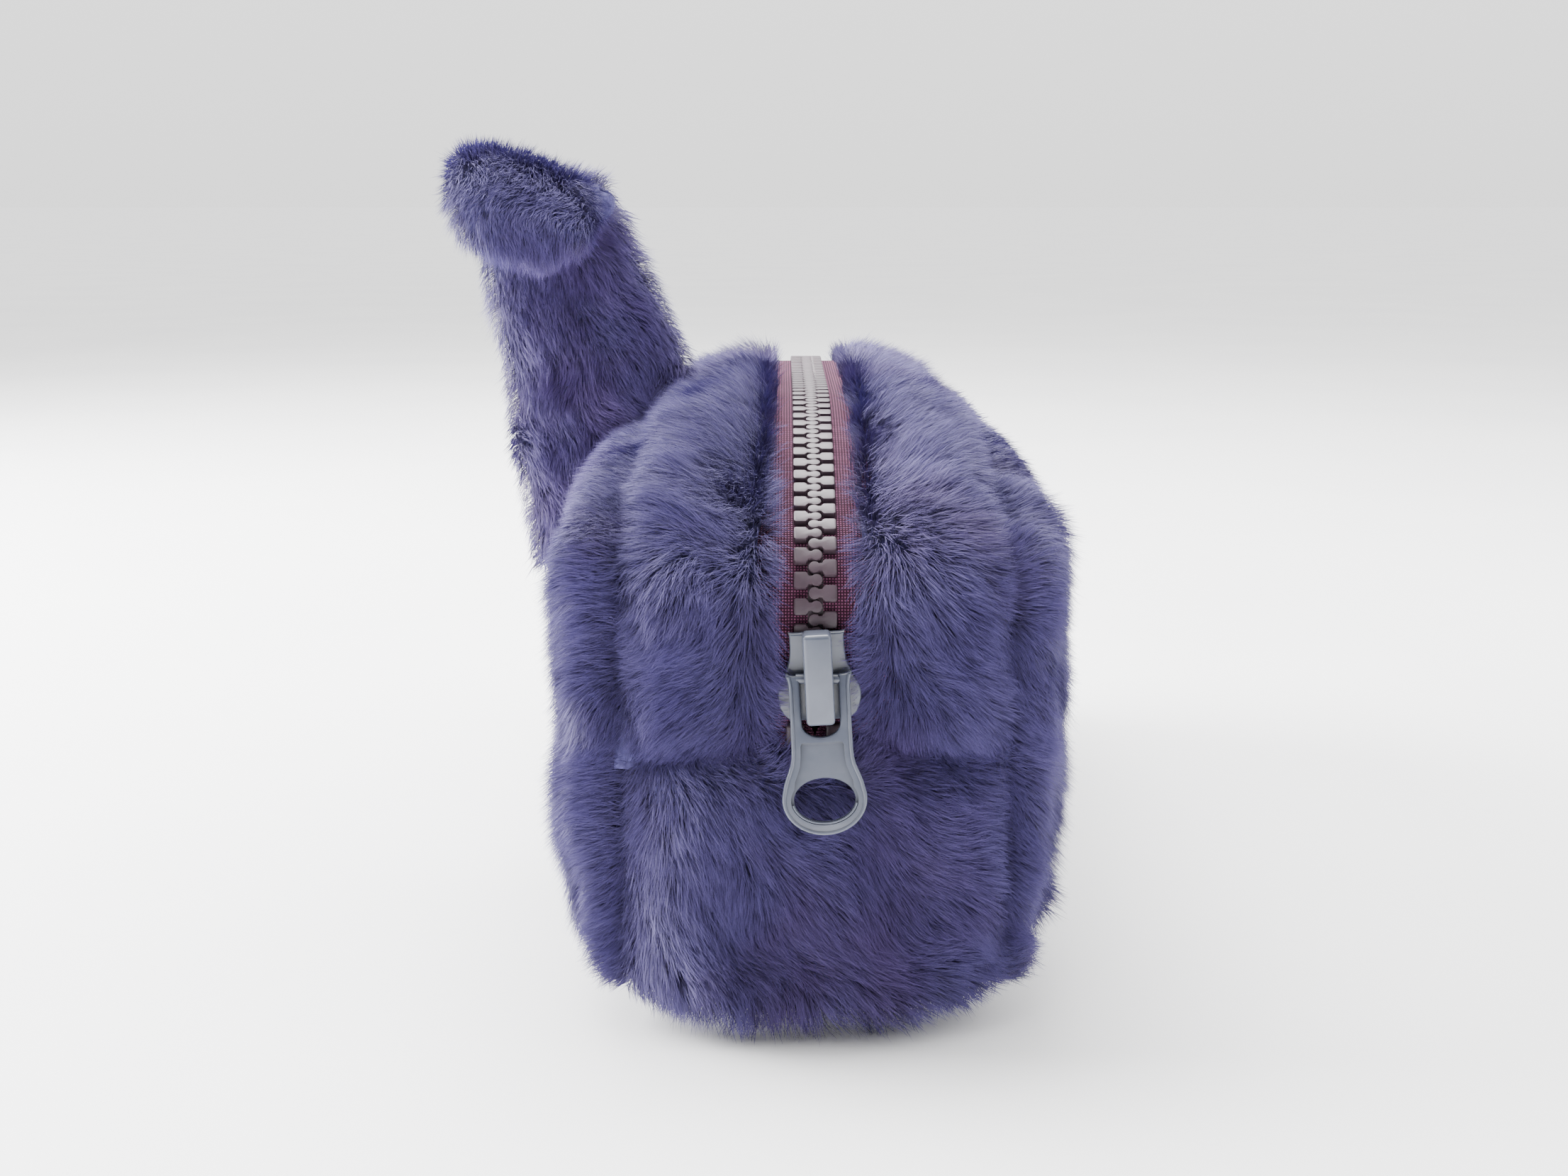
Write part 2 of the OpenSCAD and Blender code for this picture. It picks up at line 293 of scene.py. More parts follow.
def bagNormals(p):
    step = 0.4 * mm
    parts = []
    for axis in range(3):
        shift = np.zeros(3)
        shift[axis] = step
        parts.append(bagDistance(p + shift) - bagDistance(p - shift))
    return unit(np.stack(parts, 1))


def relief(p):
    # what stuffing, seams and handling do to the skin, outwards in metres
    x, y, z = np.abs(p[:, 0]), np.abs(p[:, 1]), p[:, 2]
    onRight = p[:, 0] > 0  # that side is slimmer and has ribs
    seam = hump(x - seamX, 4.6 * mm)
    onEnd = smoothStep(y, bagL - 16 * mm, bagL - 8 * mm)
    cross = hump(z - seamZ, 4.4 * mm) * onEnd * smoothStep(-x, -seamX - 5 * mm, -seamX)
    cross = cross * (0.45 + 0.55 * smoothStep(x, 7 * mm, 14 * mm))
    slot = hump(x - slotX, 3 * mm) * (z > seamZ)
    side = smoothStep(x, seamX + 2 * mm, bag["halfW"] - 6 * mm)
    ribs = side * onRight * np.sin(y * 2 * math.pi / (17 * mm) + 1.3)
    belly = side * np.cos(np.clip((z - 44 * mm) / (60 * mm), -1, 1) * math.pi / 2)
    ease = 0.7 * waves(p, 34 * mm, 3) + 0.3 * waves(p, 15 * mm, 4)
    flat = smoothStep(z, 3 * mm, 14 * mm)  # the underside stays flat
    slim = 1.2 * side * onRight
    tuck = (2.0 + 1.2 * onRight) * side * smoothStep(-z, -32 * mm, -8 * mm)
    heel = 1.6 * hump(z - 6 * mm, 6 * mm) * smoothStep(y, bagL - 30 * mm, bagL - 8 * mm)
    drawn = 0.5 * belly - slim + 0.8 * ribs + 0.7 * ease - 3.0 * np.maximum(seam, cross)
    return mm * flat * drawn + mm * (heel - slot - tuck)


# ---- faux fur: knitted backing with a brushed acrylic pile ----

fur = {
    "root": "#2f2848",
    "shade": "#40385e",
    "body": "#4e4679",
    "tip": "#625992",
    "length": 6.0 * mm,
    "width": 0.115 * mm,
    "tuft": 0.95 * mm,  # radius of a tuft at its root
    "perTuft": 5,
    "most": 58000,  # strands in one pile
}


def furMaterial(name, dark=0.0):
    # acrylic pile: soft, light at the tips and dark between the tufts where light is lost
    material, tree, place = newMaterial(name)
    along = addNode(tree, "Attribute", {"attribute_name": "along"})
    tuft = addNode(tree, "Attribute", {"attribute_name": "tuft"})
    tint = addNode(tree, "TexNoise", {"Scale": 38.0, "Detail": 3.0}, {"Vector": place})
    colour = addNode(tree, "ValToRGB", {"stops": [
        (0.0, fur["root"]), (0.38, fur["shade"]), (0.72, fur["body"]), (1.0, fur["tip"])]},
        {"Fac": along.outputs["Fac"]})
    warm = addNode(tree, "ValToRGB", {"stops": [(0.5, "#ffffff"), (0.72, "#f6dfe8")]},
                   {"Fac": tint.outputs["Fac"]})
    mixed = addNode(tree, "Mix", {"data_type": "RGBA", "blend_type": "MULTIPLY", "Factor": 1.0},
                    {"A": colour.outputs["Color"], "B": warm.outputs["Color"]})
    vary = addNode(tree, "MapRange", {"To Min": 0.9 - dark, "To Max": 1.1 - dark},
                   {"Value": tuft.outputs["Fac"]})
    bright = addNode(tree, "HueSaturation", links={
        "Value": vary.outputs["Result"], "Color": mixed.outputs["Result"]})
    return finishMaterial(material, {
        "Roughness": 0.62, "Specular IOR Level": 0.3, "Sheen Weight": 0.25, "Sheen Roughness": 0.5,
        "Sheen Tint": linearColour("#c9c6ee")}, {"Base Color": bright.outputs["Color"]})


def backingMaterial():
    # knitted backing seen only deep between the tufts: dark and matt with a fine stitch
    material, tree, place = newMaterial("pile backing, knitted")
    knit = addNode(tree, "TexVoronoi", {"Scale": 1400.0}, {"Vector": place}).outputs["Distance"]
    colour = addNode(tree, "ValToRGB", {"stops": [(0.0, "#565287"), (0.8, "#3d3863")]}, {"Fac": knit})
    bump = addNode(tree, "Bump", {"Strength": 0.5, "Distance": 0.2 * mm}, {"Height": knit})
    return finishMaterial(material, {"Roughness": 0.95}, {
        "Base Color": colour.outputs["Color"], "Normal": bump.outputs["Normal"]})


furCoat = furMaterial("acrylic pile, brushed")
# painted light: the ear has the same pile as the bag, coloured lighter to stand in for light falling on it
earCoatPaintedLighter = furMaterial("acrylic pile, brushed, ear", -0.32)
backing = backingMaterial()


def bladeMesh(name, root, bend, tip, across, tuftShade, cells):
    # each strand is a flat blade of five points: two at the root, two at the bend, one tip
    count = len(root)
    points = np.empty((count, 5, 3), np.float32)
    points[:, 0], points[:, 1] = root - across, root + across
    points[:, 2], points[:, 3] = bend - across * 0.8, bend + across * 0.8
    points[:, 4] = tip
    corner = np.array([0, 1, 3, 0, 3, 2, 2, 3, 4])
    loops = (np.arange(count)[:, None] * 5 + corner).ravel().astype(np.int32)
    mesh = bpy.data.meshes.new(name)
    mesh.vertices.add(count * 5)
    mesh.vertices.foreach_set("co", points.ravel())
    mesh.loops.add(len(loops))
    mesh.loops.foreach_set("vertex_index", loops)
    mesh.polygons.add(count * 3)
    mesh.polygons.foreach_set("loop_start", np.arange(0, count * 9, 3, dtype=np.int32))
    mesh.polygons.foreach_set("use_smooth", np.ones(count * 3, bool))
    mesh.update(calc_edges=True)
    along = np.tile(np.array([0, 0, 0.5, 0.5, 1], np.float32), count)
    mesh.attributes.new("along", "FLOAT", "POINT").data.foreach_set("value", along)
    shade = np.repeat(tuftShade.astype(np.float32), 5)
    mesh.attributes.new("tuft", "FLOAT", "POINT").data.foreach_set("value", shade)
    grid = 64  # strands of one patch share a cell of the map
    cell = np.clip((cells * grid).astype(int), 0, grid - 1)
    corners = np.array([[0.2, 0.1], [0.8, 0.1], [0.25, 0.5], [0.75, 0.5], [0.5, 0.9]])
    uv = (cell[:, None, :] + corners[None]) / grid
    layer = mesh.uv_layers.new(name="OFBake")
    layer.data.foreach_set("uv", uv.reshape(-1, 2)[loops].astype(np.float32).ravel())
    return newObject(name, mesh)


def outerTriangles(piece):
    mesh = piece.data
    mesh.calc_loop_triangles()
    corners = np.empty(len(mesh.loop_triangles) * 3, np.int32)
    mesh.loop_triangles.foreach_get("vertices", corners)
    normals = np.empty(len(mesh.vertices) * 3)
    mesh.vertices.foreach_get("normal", normals)
    return meshPoints(mesh), normals.reshape(-1, 3), corners.reshape(-1, 3)


def growPile(name, skin, comb, density, seed, length=None, width=None, coat=None, limit=fur["most"]):
    # tufts rooted evenly on the skin, each of a few strands whose tips draw together
    rng = np.random.default_rng(seed)
    points, normals, tris = outerTriangles(skin)
    a, b, c = points[tris[:, 0]], points[tris[:, 1]], points[tris[:, 2]]
    area = np.linalg.norm(np.cross(b - a, c - a), axis=1) / 2
    weight = area * density((a + b + c) / 3) / fur["perTuft"] * 1e6
    total = weight.sum() * 1
    tufts = int(min(total, limit / fur["perTuft"]))
    pick = rng.choice(len(area), tufts, p=weight / weight.sum())
    u, v = rng.random(tufts), rng.random(tufts)
    flip = u + v > 1
    u, v = np.where(flip, 1 - u, u), np.where(flip, 1 - v, v)
    spot = a[pick] + (b - a)[pick] * u[:, None] + (c - a)[pick] * v[:, None]
    corner = normals[tris[pick]]
    normal = unit(corner[:, 0] * (1 - u - v)[:, None] + corner[:, 1] * u[:, None] + corner[:, 2] * v[:, None])
    lay, lift, reach = comb(spot, normal)
    lay = unit(lay - normal * (lay * normal).sum(1, keepdims=True))
    sideways = np.cross(normal, lay)
    swirl = 0.42 * waves(spot, 14 * mm, 11) + 0.3 * waves(spot, 5 * mm, 12) + rng.normal(0, 0.14, tufts)
    lay = between(lay, sideways, swirl)
    sideways = np.cross(normal, lay)
    each = fur["perTuft"]

    def perStrand(values):
        return np.repeat(values, each, axis=0)

    count = tufts * each
    spot, normal, lay, sideways = map(perStrand, (spot, normal, lay, sideways))
    lift, reach = perStrand(lift), perStrand(reach)
    tuftShade = perStrand(rng.random(tufts))
    spread = fur["tuft"] * np.sqrt(rng.random(count)) * 1.25
    around = rng.random(count) * 2 * math.pi
    offset = lay * (spread * np.cos(around))[:, None] + sideways * (spread * np.sin(around))[:, None]
    root = spot + offset - normal * 0.25 * mm
    long = (length or fur["length"]) * reach * rng.uniform(0.78, 1.12, count)
    first = lift + rng.normal(0, 0.10, count)  # how far the strand leans at its root
    second = first + 0.55 + rng.normal(0, 0.15, count)
    half = (long / 2)[:, None]
    bend = root + half * between(normal, lay, first) - offset * 0.08
    tip = bend + half * between(normal, lay, second) - offset * 0.2
    stray = rng.normal(0, 0.42 * mm, (count, 3)) * rng.random((count, 1))
    tip = tip + stray
    bend = bend + stray * 0.3
    roll = rng.normal(0, 0.5, count)
    halfWide = (width or fur["width"]) * rng.uniform(0.7, 1.2, count) / 2
    across = between(sideways, normal, roll) * halfWide[:, None]
    low, high = points.min(0), points.max(0)
    wide = np.argsort(high - low)[-2:]
    cells = ((spot - low) / (high - low))[:, wide]
    piece = bladeMesh(name, root, bend, tip, across, tuftShade, cells)
    piece.data.materials.append(coat or furCoat)
    return piece


# ---- skin panels ----

def makeSkin():
    # a cube cut fine, pulled onto the bag's surface and shaped by its seams
    skin = newCube((0, 0, bag["top"] / 2), (2 * bag["halfW"], 2 * bagL, bag["top"]), cuts=63)
    points = ontoBag(meshPoints(skin.data), bag["skinDepth"])
    points = points + bagNormals(points) * relief(points)[:, None]
    movePoints(skin.data, points)
    planes = [((s * seamX, 0, 0), (1, 0, 0)) for s in (-1, 1)]
    planes += [((s * slotX, 0, 0), (1, 0, 0)) for s in (-1, 1)]
    cutAlong(skin, planes + [((0, 0, seamZ), (0, 0, 1))])
    return skin


def panelFrom(skin, name, keep):
    # a copy of the skin with only the faces whose middles pass keep
    panel = skin.copy()
    panel.data = skin.data.copy()
    panel.name = panel.data.name = name
    bpy.context.collection.objects.link(panel)
    shape = bmesh.new()
    shape.from_mesh(panel.data)
    spare = [f for f in shape.faces if not keep(f.calc_center_median())]
    bmesh.ops.delete(shape, geom=spare, context="FACES")
    shape.to_mesh(panel.data)
    shape.free()
    panel.data.update()
    return panel


def finishPanel(panel, thick):
    # turned into a closed padded shell, thickened inwards
    addModifier(panel, "SOLIDIFY", thickness=thick, offset=-1, use_even_offset=False)
    dress(panel, backing, 50)


def bagComb(p, n):
    # the nap runs down and away from the zip, and parts at the seams
    x, y, z = p[:, 0], p[:, 1], p[:, 2]
    side = np.sign(x)
    onTop = smoothStep(n[:, 2], 0.3, 0.85)
    front = smoothStep(np.abs(n[:, 1]), 0.3, 0.8)
    across = np.clip((np.abs(x) - 8 * mm) / (16 * mm), 0, 1.2)
    away = np.stack([
        side * (0.3 + 0.9 * onTop + 1.3 * across * front),
        0.25 * onTop * np.sign(y),
        -0.85 * (1 - onTop) - 0.1], 1)
    gap = np.abs(x) - seamX
    close = hump(gap, 4.5 * mm)
    away[:, 0] += np.sign(gap) * side * close * 0.9
    under = smoothStep(-n[:, 2], 0.9, 0.99)
    away[:, 1] += under * np.sign(y) * 1.2
    lift = 0.44 + 0.2 * close + 0.12 * waves(p, 11 * mm, 21) + 0.6 * under
    reach = 1 - 0.34 * close + 0.1 * waves(p, 17 * mm, 22) - 0.5 * under
    slot = hump(np.abs(x) - slotX, 2.6 * mm) * (z > seamZ)
    away[:, 0] -= side * slot * (1.5 + 0.9 * front)  # wisps lean in over the tape's edge
    lift = lift - 0.25 * slot * (1 - 0.6 * front)
    reach = reach - 0.15 * slot
    crossed = hump(z - seamZ, 3.6 * mm) * (front > 0.5) * (np.abs(x) < seamX)
    reach = reach - 0.3 * crossed
    lift = lift - 0.15 * crossed
    return away, lift, np.clip(reach, 0.4, 1.3)


def gussetComb(p, n):
    # below the cross seam the pile sweeps down and to the right
    away, lift, reach = bagComb(p, n)
    front = smoothStep(np.abs(n[:, 1]), 0.4, 0.8)
    sweep = 0.1 + (p[:, 0] + 22 * mm) / (26 * mm)
    away[:, 0] = away[:, 0] * (1 - front) + sweep * front
    away[:, 2] = away[:, 2] * (1 - front) - 0.8 * front
    pressed = hump(p[:, 0], 6.5 * mm, 4) * smoothStep(p[:, 2], pullLow[2] - 4 * mm, pullLow[2] + 3 * mm)
    pressed = pressed * smoothStep(-p[:, 2], -39 * mm, -36 * mm) * (p[:, 1] < 0)  # by the pull
    lift = lift + 0.5 * pressed
    reach = reach * (1 - 0.25 * pressed)
    mouth = hump(p[:, 0], 8 * mm, 4) * smoothStep(p[:, 2], 36 * mm, 40 * mm) * front
    away[:, 2] += 1.9 * mouth  # tufts stand over the tape's sewn end
    reach = reach + 0.25 * mouth
    return away, lift, reach


def frontDensity(high, low):
    # strands per square millimetre, falling off away from the zip's closed end
    def density(p):
        near = 1 - smoothStep(p[:, 1], -bagL + 40 * mm, -bagL + 100 * mm)
        under = smoothStep(-p[:, 2], -7 * mm, -5.2 * mm)
        return (low + (high - low) * near) * (1 - 0.6 * under)
    return density


print("shaping the skin")
skin = makeSkin()
panels = {
    "gusset": (lambda c: abs(c.x) < seamX and c.z < seamZ, ("base_gusset", "base_wadding")),
    "left_side": (lambda c: c.x < -seamX, ("left_side_lower", "left_side_upper", "left_wadding")),
    "right_side": (lambda c: c.x > seamX, ("right_side_lower", "right_side_upper", "right_wadding")),
    "left_zip_strip": (lambda c: -seamX < c.x < -slotX and c.z > seamZ, ("left_strip",)),
    "right_zip_strip": (lambda c: slotX < c.x < seamX and c.z > seamZ, ("right_strip",)),
}
nearEnd = -bagL + 38 * mm  # a finer pile is grown on this side of it
padding = 3.6 * mm


def follow(piece):
    # pieces named for the left or right side are fixed in place; everything else is attached to the bag
    word = piece.name.split("_")[0]
    if word in ("left", "right"):
        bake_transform(piece)
    else:
        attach(piece, "bag")


for number, (name, (keep, nodes)) in enumerate(panels.items()):
    print("panel", name)
    panel = panelFrom(skin, name + "_panel", keep)
    comb = gussetComb if name == "gusset" else bagComb
    parts = {"": lambda c: True}
    if name == "gusset":
        parts = {"_near": lambda c: c.y < nearEnd, "_far": lambda c: c.y >= nearEnd}
    if name.endswith("side"):
        parts = {
            "_near_low": lambda c: c.y < nearEnd and c.z < seamZ,
            "_near_high": lambda c: c.y < nearEnd and c.z >= seamZ,
            "_far_low": lambda c: c.y >= nearEnd and c.z < seamZ,
            "_far_high": lambda c: c.y >= nearEnd and c.z >= seamZ,
        }
    for suffix, part in parts.items():
        patch = panelFrom(panel, name + suffix + "_patch", part)
        wide, most = (0.25 * mm, 44000) if "far" in suffix else (fur["width"], fur["most"])
        seed = 100 + 10 * number + len(suffix)
        pile = growPile(name + suffix + "_pile", patch, comb, frontDensity(24, 6), seed, width=wide, limit=most)
        bpy.data.objects.remove(patch)
        follow(pile)
    finishPanel(panel, padding)
    follow(panel)
    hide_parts(*nodes)
bpy.data.objects.remove(skin)


# ---- the zip's path ----

chain = {
    "depth": sliderMiddle.y + bagL,
    "pitch": 3.4 * mm,
    "width": 5.9 * mm,
    "tall": 2.6 * mm,
    "tapeIn": 1.1 * mm,
}
riseL = bag["bendZ"] - seamZ
bendL = (bag["bendR"] - chain["depth"]) * bag["bendTurn"]
crownL = (bag["crownR"] - chain["depth"]) * (math.pi / 2 - bag["bendTurn"])
halfL = riseL + bendL + crownL + bag["crownY"]


def chainPlace(s, up=0.0):
    # y, z and turn of the chain at distance s from the front seam, raised by up
    if s > halfL:
        y, z, turn = chainPlace(2 * halfL - s, up)
        return -y, z, math.pi - turn
    depth = chain["depth"] - up
    if s < riseL:
        return depth - bagL, seamZ + s, 0.0
    if s < riseL + bendL:
        turn = (s - riseL) / bendL * bag["bendTurn"]
        r = bag["bendR"] - depth
        return -bag["bendY"] - r * math.cos(turn), bag["bendZ"] + r * math.sin(turn), turn
    if s < riseL + bendL + crownL:
        turn = bag["bendTurn"] + (s - riseL - bendL) / crownL * (math.pi / 2 - bag["bendTurn"])
        r = bag["crownR"] - depth
        return -bag["crownY"] - r * math.cos(turn), bag["crownZ"] + r * math.sin(turn), turn
    return s - riseL - bendL - crownL - bag["crownY"], bag["top"] - depth, math.pi / 2


def chainMatrix(s):
    y, z, turn = chainPlace(s)
    return Matrix.Translation((0, y, z)) @ Matrix.Rotation(math.pi / 2 - turn, 4, "X")


# ---- tape: woven polyester ----

def tapeMaterial():
    # fine herringbone weave, threads 0.4 mm apart; where the threads cross they are coloured lighter, partly the
    # weave's own tone and partly a painted highlight where the filaments catch light
    material, tree, place = newMaterial("polyester tape, woven")
    place = addNode(tree, "UVMap", {"uv_map": "weave"}).outputs["UV"]
    wave = {"Scale": 1.0, "Distortion": 0.6, "Detail": 1.0}
    warp, weft = [addNode(tree, "TexWave", wave | {"bands_direction": way}, {"Vector": place}) for way in "XY"]
    both = addNode(tree, "Math", {"operation": "MULTIPLY"},
                   {0: warp.outputs["Fac"], 1: weft.outputs["Fac"]}).outputs["Value"]
    # weave tone with painted highlights: the thread crossings are coloured lightest
    colour = addNode(tree, "ValToRGB", {"stops": [(0.0, "#33192a"), (0.45, "#60344c"), (0.9, "#a8688a")]},
                     {"Fac": both})
    bump = addNode(tree, "Bump", {"Strength": 0.8, "Distance": 0.2 * mm}, {"Height": both})
    return finishMaterial(material, {"Roughness": 0.8, "Specular IOR Level": 0.15}, {
        "Base Color": colour.outputs["Color"], "Normal": bump.outputs["Normal"]})


tapeCloth = tapeMaterial()


def makeTape(side, name):
    # a flat grid laid along the path of the zip
    outer = max(abs(tapeLow[0]), abs(tapeHigh[0]))
    thread = 0.42 * mm
    waveUnit = 0.314  # length of one wave of the texture at scale 1
    bpy.ops.mesh.primitive_grid_add(x_subdivisions=14, y_subdivisions=200, size=1)
    tape = bpy.context.active_object
    tape.name = tape.data.name = name
    flat = meshPoints(tape.data)
    length = 2 * halfL - 1 * mm
    points = np.empty_like(flat)
    layer = tape.data.uv_layers.active or tape.data.uv_layers.new(name="weave")
    layer.name = "weave"
    width = outer - chain["tapeIn"]
    for i, (u, v) in enumerate(flat[:, :2]):
        s = 0.5 * mm + (v + 0.5) * length
        y, z = chainPlace(s)[:2]
        fromEnd = min(s, 2 * halfL - s)
        narrow = 0.42 + 0.58 * float(smoothStep(fromEnd, 1 * mm, 9 * mm))
        inner = 0.08 * mm + (chain["tapeIn"] - 0.08 * mm) * float(smoothStep(s, 2.5 * mm, 4.5 * mm))
        points[i] = side * (inner + (u + 0.5) * width * narrow), y, z
    movePoints(tape.data, points)
    for loop in tape.data.loops:
        u, v = flat[loop.vertex_index][:2]
        layer.data[loop.index].uv = (u * width / thread * waveUnit, v * length / thread * waveUnit)
    if side > 0:
        tape.data.flip_normals()
    addModifier(tape, "SOLIDIFY", thickness=0.7 * mm, offset=0)
    dress(tape, tapeCloth)
    return tape


# ---- teeth: injection-moulded acetal ----

def teethMaterial():
    # moulded acetal: satin, faintly mottled, slightly translucent at the edges
    material, tree, place = newMaterial("acetal teeth, moulded")
    mottle = addNode(tree, "TexNoise", {"Scale": 420.0, "Detail": 2.0}, {"Vector": place})
    colour = addNode(tree, "ValToRGB", {"stops": [(0.3, "#43363f"), (0.7, "#51434c")]},
                     {"Fac": mottle.outputs["Fac"]})
    grain = addNode(tree, "TexNoise", {"Scale": 3000.0}, {"Vector": place})
    bump = addNode(tree, "Bump", {"Strength": 0.12, "Distance": 0.1 * mm}, {"Height": grain.outputs["Fac"]})
    return finishMaterial(material, {
        "Roughness": 0.42, "IOR": 1.48, "Subsurface Weight": 0.15, "Subsurface Radius": (0.6, 0.4, 0.4),
        "Subsurface Scale": mm}, {"Base Color": colour.outputs["Color"], "Normal": bump.outputs["Normal"]})


acetal = teethMaterial()


def arcPoints(centre, halves, start, end, count):
    # points along part of an ellipse, with angles in degrees
    turns = [math.radians(start + (end - start) * i / count) for i in range(count + 1)]
    return [(centre[0] + halves[0] * math.cos(a), centre[1] + halves[1] * math.sin(a)) for a in turns]


tooth = {"blockIn": 1.0 * mm, "blockHalf": 1.16 * mm, "headR": 0.86 * mm, "headX": 0.12 * mm}


def toothMesh(side):
    # outline with a square block on the tape and a round head past the middle
    half, r = tooth["blockHalf"], 0.35 * mm
    outer, inner = chain["width"] / 2, tooth["blockIn"]
    outline = arcPoints((outer - r, half - r), (r, r), 0, 90, 3)
    notch = [(inner + 0.3 * mm, half), (inner + 0.04 * mm, half - 0.3 * mm), (inner - 0.1 * mm, 0.62 * mm)]
    outline += notch
    outline += arcPoints((-tooth["headX"], 0), (tooth["headR"],) * 2, 44, 316, 12)
    outline += [(x, -y) for x, y in reversed(notch)]
    outline += arcPoints((outer - r, -half + r), (r, r), 270, 360, 3)
    outline = [(side * x, y) for x, y in outline]
    if side < 0:
        outline.reverse()
    shape = bmesh.new()
    corners = [shape.verts.new((x, y, -chain["tall"] / 2)) for x, y in outline]
    base = shape.faces.new(corners)
    raised = bmesh.ops.extrude_face_region(shape, geom=[base])
    tops = [g for g in raised["geom"] if isinstance(g, bmesh.types.BMVert)]
    bmesh.ops.translate(shape, verts=tops, vec=(0, 0, chain["tall"]))
    bmesh.ops.recalc_face_normals(shape, faces=shape.faces)
    level = [e for e in shape.edges if abs(e.verts[0].co.z - e.verts[1].co.z) < 1e-9]
    rims = [e for e in level if len(e.link_faces) == 2]
    bmesh.ops.bevel(shape, geom=rims, offset=0.22 * mm, segments=2, profile=0.6, affect="EDGES")
    web = Matrix.Translation((side * 0.6 * mm, 0, -0.2 * mm))
    web = web @ Matrix.Diagonal((1.14 * mm, 3.3 * mm, 0.9 * mm, 1))
    bmesh.ops.create_cube(shape, size=1, matrix=web)  # it closes the middle of the chain
    return meshFrom(shape, "tooth")


def makeTeeth(side, name):
    first = sliderHigh[2] - seamZ - 3.9 * mm
    last = 2 * halfL - 4.8 * mm
    count = int((last - first) / chain["pitch"] - 0.5)
    lag = 0.5 if side > 0 else 0
    one = toothMesh(side)
    row = bmesh.new()
    for i in range(count + 1):
        before = len(row.verts)
        row.from_mesh(one)
        row.verts.ensure_lookup_table()
        place = chainMatrix(first + (i + lag) * chain["pitch"])
        bmesh.ops.transform(row, matrix=place, verts=row.verts[before:])
    piece = newObject(name, meshFrom(row, name))
    dress(piece, acetal, 35)
    return piece


def makeStop(name, node):
    # a small moulded block with rounded edges
    low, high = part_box(node)
    stop = newCube([(a + b) / 2 for a, b in zip(low, high)], [b - a for a, b in zip(low, high)])
    stop.name = stop.data.name = name
    addModifier(stop, "BEVEL", width=0.5 * mm, segments=4)
    dress(stop, acetal)
    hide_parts(node)
    return stop


print("zip")
for side, word in ((-1, "left"), (1, "right")):
    tape = makeTape(side, word + "_zip_tape")
    follow(tape)
    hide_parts(word + "_tape")
    row = makeTeeth(side, word + "_zip_teeth")
    follow(row)
    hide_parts(word + "_teeth")
    follow(makeStop(word + "_end_stop", word + "_top_stop"))
follow(makeStop("far_end_stop", "bottom_stop"))


# ---- slider and pull: die-cast zinc, spray-enamelled ----

def enamelMaterial():
    # sprayed enamel over die-cast zinc: even pale grey-blue, soft gloss, a faint orange peel; its sharp edges
    # carry a painted highlight and its recesses painted shade
    material, tree, place = newMaterial("enamel on die-cast zinc")
    cloud = addNode(tree, "TexNoise", {"Scale": 260.0, "Detail": 4.0}, {"Vector": place})
    colour = addNode(tree, "ValToRGB", {"stops": [(0.3, "#4e5361"), (0.7, "#595e6c")]},
                     {"Fac": cloud.outputs["Fac"]})
    # painted highlight: sharp convex edges, found by pointiness, are coloured a lighter grey-blue
    edges = addNode(tree, "NewGeometry")
    paintedEdgeHighlight = addNode(tree, "ValToRGB", {"stops": [(0.5, "#000000"), (0.62, "#5a5a5a")]},
                   {"Fac": edges.outputs["Pointiness"]})
    mixed = addNode(tree, "Mix", {"data_type": "RGBA", "B": linearColour("#848a99")},
                    {"Factor": paintedEdgeHighlight.outputs["Color"], "A": colour.outputs["Color"]})
    peel = addNode(tree, "TexNoise", {"Scale": 900.0, "Detail": 1.0}, {"Vector": place})
    bump = addNode(tree, "Bump", {"Strength": 0.1, "Distance": 0.2 * mm}, {"Height": peel.outputs["Fac"]})
    # painted shade: ambient occlusion darkens the enamel's colour in recesses, along the rails and under the
    # bridge
    corners = addNode(tree, "AmbientOcclusion", {"Distance": 2.2 * mm})
    paintedRecessShade = addNode(tree, "ValToRGB", {"stops": [(0.3, "#8c8c92"), (0.62, "#d8d8dc"), (0.92, "#ffffff")]},
                   {"Fac": corners.outputs["AO"]})  # painted shade: darker in the recesses, where shade falls
    withPaintedShade = addNode(tree, "Mix", {"data_type": "RGBA", "blend_type": "MULTIPLY", "Factor": 1.0},
                     {"A": mixed.outputs["Result"], "B": paintedRecessShade.outputs["Color"]})
    return finishMaterial(material, {"Roughness": 0.3, "IOR": 1.5, "Coat Weight": 0.25, "Coat Roughness": 0.2}, {
        "Base Color": withPaintedShade.outputs["Result"], "Normal": bump.outputs["Normal"]})


def springMaterial():
    # rolled spring strip: plain steel with fine lines along its length
    material, tree, place = newMaterial("spring steel, rolled")
    stretch = addNode(tree, "Mapping", {"Scale": (4000.0, 4000.0, 200.0)}, {"Vector": place})
    lines = addNode(tree, "TexNoise", {"Scale": 1.0}, {"Vector": stretch.outputs["Vector"]})
    colour = addNode(tree, "ValToRGB", {"stops": [(0.3, "#9a9ca0"), (0.7, "#c6c8cc")]},
                     {"Fac": lines.outputs["Fac"]})
    return finishMaterial(material, {"Metallic": 1.0, "Roughness": 0.3}, {"Base Color": colour.outputs["Color"]})


enamel = enamelMaterial()
springSteel = springMaterial()

# slider pieces are drawn flat, with +Y up the chain and +Z outwards, and then stood on the end
sliderTilt = Matrix.Translation(sliderMiddle + Vector((0.4 * mm, 0, 0))) @ Matrix.Rotation(
    math.radians(-3), 4, "Y") @ Matrix.Translation(-sliderMiddle)  # it never sits quite straight
standUp = sliderTilt @ Matrix.Translation(sliderMiddle) @ Matrix.Rotation(math.pi / 2, 4, "X")
pullLean = math.radians(9)  # the pull rests on the pile


def curveToMesh(data, place):
    piece = newObject(data.name, data)
    piece.matrix_world = place
    bpy.context.view_layer.update()
    selectOnly(piece)
    bpy.ops.object.convert(target="MESH")
    piece = bpy.context.active_object
    applyPlace(piece)
    return piece


